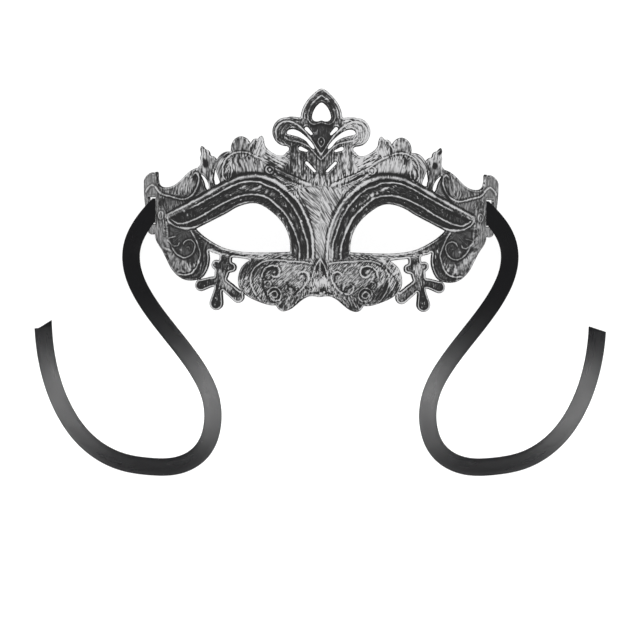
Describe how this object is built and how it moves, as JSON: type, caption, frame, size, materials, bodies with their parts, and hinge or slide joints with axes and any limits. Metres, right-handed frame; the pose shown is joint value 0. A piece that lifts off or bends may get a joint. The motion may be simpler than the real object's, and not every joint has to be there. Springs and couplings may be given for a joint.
{
  "type": "venetian half mask",
  "caption": "Ornate moulded half mask with a pierced crest, scrolled brow, open eyes and leaf pendants, tied on by ribbons that lead out through slots in its side wings.",
  "frame": {"origin": "on the surface the mask lies on, below the middle of the mask's box measured without the ribbons", "axes": "+X towards the wearer's left, +Y towards the crest, +Z out of the front of the mask, which lies on its back"},
  "size_m": [0.274, 0.1861, 0.0547],
  "materials": {
    "antique_silver": "black moulded plastic dry-brushed with silver",
    "black_satin": "satin ribbon"
  },
  "bodies": {
    "root": {"mask_shell": "antique_silver", "ribbon_left": "black_satin", "ribbon_right": "black_satin"}
  },
  "joints": []
}
